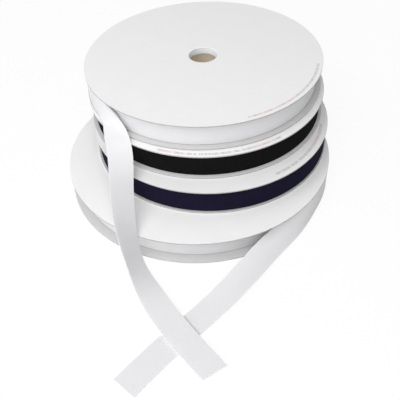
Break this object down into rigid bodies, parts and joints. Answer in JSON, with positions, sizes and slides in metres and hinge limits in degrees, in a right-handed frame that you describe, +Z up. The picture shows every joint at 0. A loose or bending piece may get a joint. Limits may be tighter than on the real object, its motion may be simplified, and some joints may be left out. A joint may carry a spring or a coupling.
{
  "type": "hook and loop tape reel stack",
  "caption": "Staggered stack of flanged board reels of hook and loop tape, the upper ones free to turn, with crossed loose tape tails.",
  "frame": {"origin": "middle of the four reels' footprint, on the surface that the bottom reel stands on", "axes": "+Z up along the reels' axes, -Y towards the crossed tails and the viewer, +X to the viewer's right"},
  "size_m": [0.235, 0.3769, 0.0929],
  "materials": {
    "white_board": "smooth white coated paperboard",
    "hub_collar": "matt white",
    "kraft_board": "bare brown spiral-wound board",
    "white_tape": "woven, fuzzy",
    "black_tape": "woven, fuzzy",
    "navy_tape": "woven, fuzzy"
  },
  "bodies": {
    "bottom_reel": {"bottom_reel_lower_flange": "white_board", "bottom_reel_upper_flange": "white_board", "bottom_reel_lower_hub_collar": "hub_collar", "bottom_reel_upper_hub_collar": "hub_collar", "bottom_reel_core_tube": "kraft_board", "bottom_reel_wound_tape": "white_tape", "bottom_reel_outer_turns": "white_tape", "top_reel_tail": "white_tape", "bottom_reel_tail": "white_tape"},
    "navy_reel": {"navy_reel_lower_flange": "white_board", "navy_reel_upper_flange": "white_board", "navy_reel_lower_hub_collar": "hub_collar", "navy_reel_upper_hub_collar": "hub_collar", "navy_reel_core_tube": "kraft_board", "navy_reel_wound_tape": "navy_tape", "navy_reel_outer_turns": "navy_tape"},
    "black_reel": {"black_reel_lower_flange": "white_board", "black_reel_upper_flange": "white_board", "black_reel_lower_hub_collar": "hub_collar", "black_reel_upper_hub_collar": "hub_collar", "black_reel_core_tube": "kraft_board", "black_reel_wound_tape": "black_tape", "black_reel_outer_turns": "black_tape"},
    "top_reel": {"top_reel_lower_flange": "white_board", "top_reel_upper_flange": "white_board", "top_reel_lower_hub_collar": "hub_collar", "top_reel_upper_hub_collar": "hub_collar", "top_reel_core_tube": "kraft_board", "top_reel_wound_tape": "white_tape", "top_reel_outer_turns": "white_tape"}
  },
  "joints": [
    {"name": "navy_reel_spin", "type": "hinge", "parent": "bottom_reel", "child": "navy_reel", "pos_m": [0.0125, 0.00395, 0.0233], "axis": [0, 0, 1], "continuous": true},
    {"name": "black_reel_spin", "type": "hinge", "parent": "bottom_reel", "child": "black_reel", "pos_m": [0.0096, 0.02005, 0.0466], "axis": [0, 0, 1], "continuous": true},
    {"name": "top_reel_spin", "type": "hinge", "parent": "bottom_reel", "child": "top_reel", "pos_m": [0.008, 0.02785, 0.0699], "axis": [0, 0, 1], "continuous": true}
  ]
}
